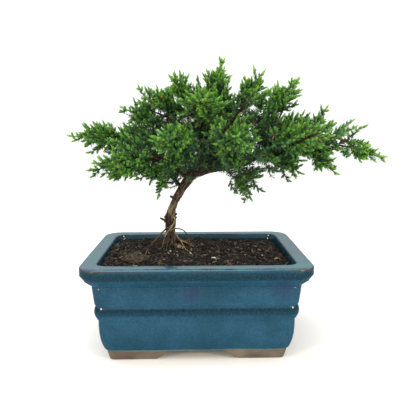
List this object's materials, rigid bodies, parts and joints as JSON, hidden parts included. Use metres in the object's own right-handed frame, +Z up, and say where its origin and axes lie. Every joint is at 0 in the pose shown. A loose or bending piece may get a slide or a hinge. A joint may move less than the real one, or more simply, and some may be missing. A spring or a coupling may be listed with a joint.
{
  "type": "potted juniper bonsai tree",
  "caption": "Small juniper bonsai with a curved trunk and a flat spreading crown, growing in a glazed rectangular stoneware pot on low feet.",
  "frame": {"origin": "centre of the whole plant's box in plan, at the underside of the pot's feet, on the surface that it stands on", "axes": "+X along the pot's long side towards the long right-hand branch, +Y from front to back, +Z up"},
  "size_m": [0.2404, 0.1318, 0.2125],
  "materials": {
    "pot_glaze": "glossy blue-green glaze over stoneware, breaking brown at the edges; feet bare",
    "soil": "dark fibrous potting mix with perlite",
    "bark": "rough fissured bark",
    "root_bark": "thin reddish-brown root bark",
    "foliage": "fine green needles and scale leaves, brighter at the tips",
    "pebble": "rough, with dried moss",
    "wood_chip": "pale split wood",
    "drain_net": "black polythene net"
  },
  "bodies": {
    "root": {"drain_screen_left": "drain_net", "drain_screen_right": "drain_net", "limb_apex": "bark", "limb_back": "bark", "limb_back_left": "bark", "limb_front": "bark", "limb_front_left": "bark", "limb_left": "bark", "limb_left_back": "bark", "limb_left_front": "bark", "limb_left_low": "bark", "limb_right": "bark", "limb_right_back": "bark", "limb_right_front": "bark", "limb_right_shoulder": "bark", "limb_shoulder": "bark", "limb_upper": "bark", "pebble": "pebble", "pot": "pot_glaze", "root_arch": "root_bark", "root_back": "root_bark", "root_left": "root_bark", "root_right": "root_bark", "root_wrap": "root_bark", "soil": "soil", "spray_back": "foliage", "spray_back_left": "foliage", "spray_centre_hanging": "foliage", "spray_crown": "foliage", "spray_crown_back": "foliage", "spray_crown_front": "foliage", "spray_crown_left": "foliage", "spray_front": "foliage", "spray_front_left": "foliage", "spray_heart": "foliage", "spray_left_back": "foliage", "spray_left_front": "foliage", "spray_left_hanging": "foliage", "spray_left_low": "foliage", "spray_left_shoulder": "foliage", "spray_left_tip": "foliage", "spray_left_under": "foliage", "spray_right_back": "foliage", "spray_right_front": "foliage", "spray_right_limb": "foliage", "spray_right_low": "foliage", "spray_right_rise": "foliage", "spray_right_shoulder": "foliage", "spray_right_tip": "foliage", "spray_right_under": "foliage", "spray_right_upper": "foliage", "spray_under_front": "foliage", "spray_under_left": "foliage", "spray_under_right": "foliage", "spray_upper_left": "foliage", "spray_upper_right": "foliage", "trunk": "bark", "wood_chip": "wood_chip"}
  },
  "joints": []
}
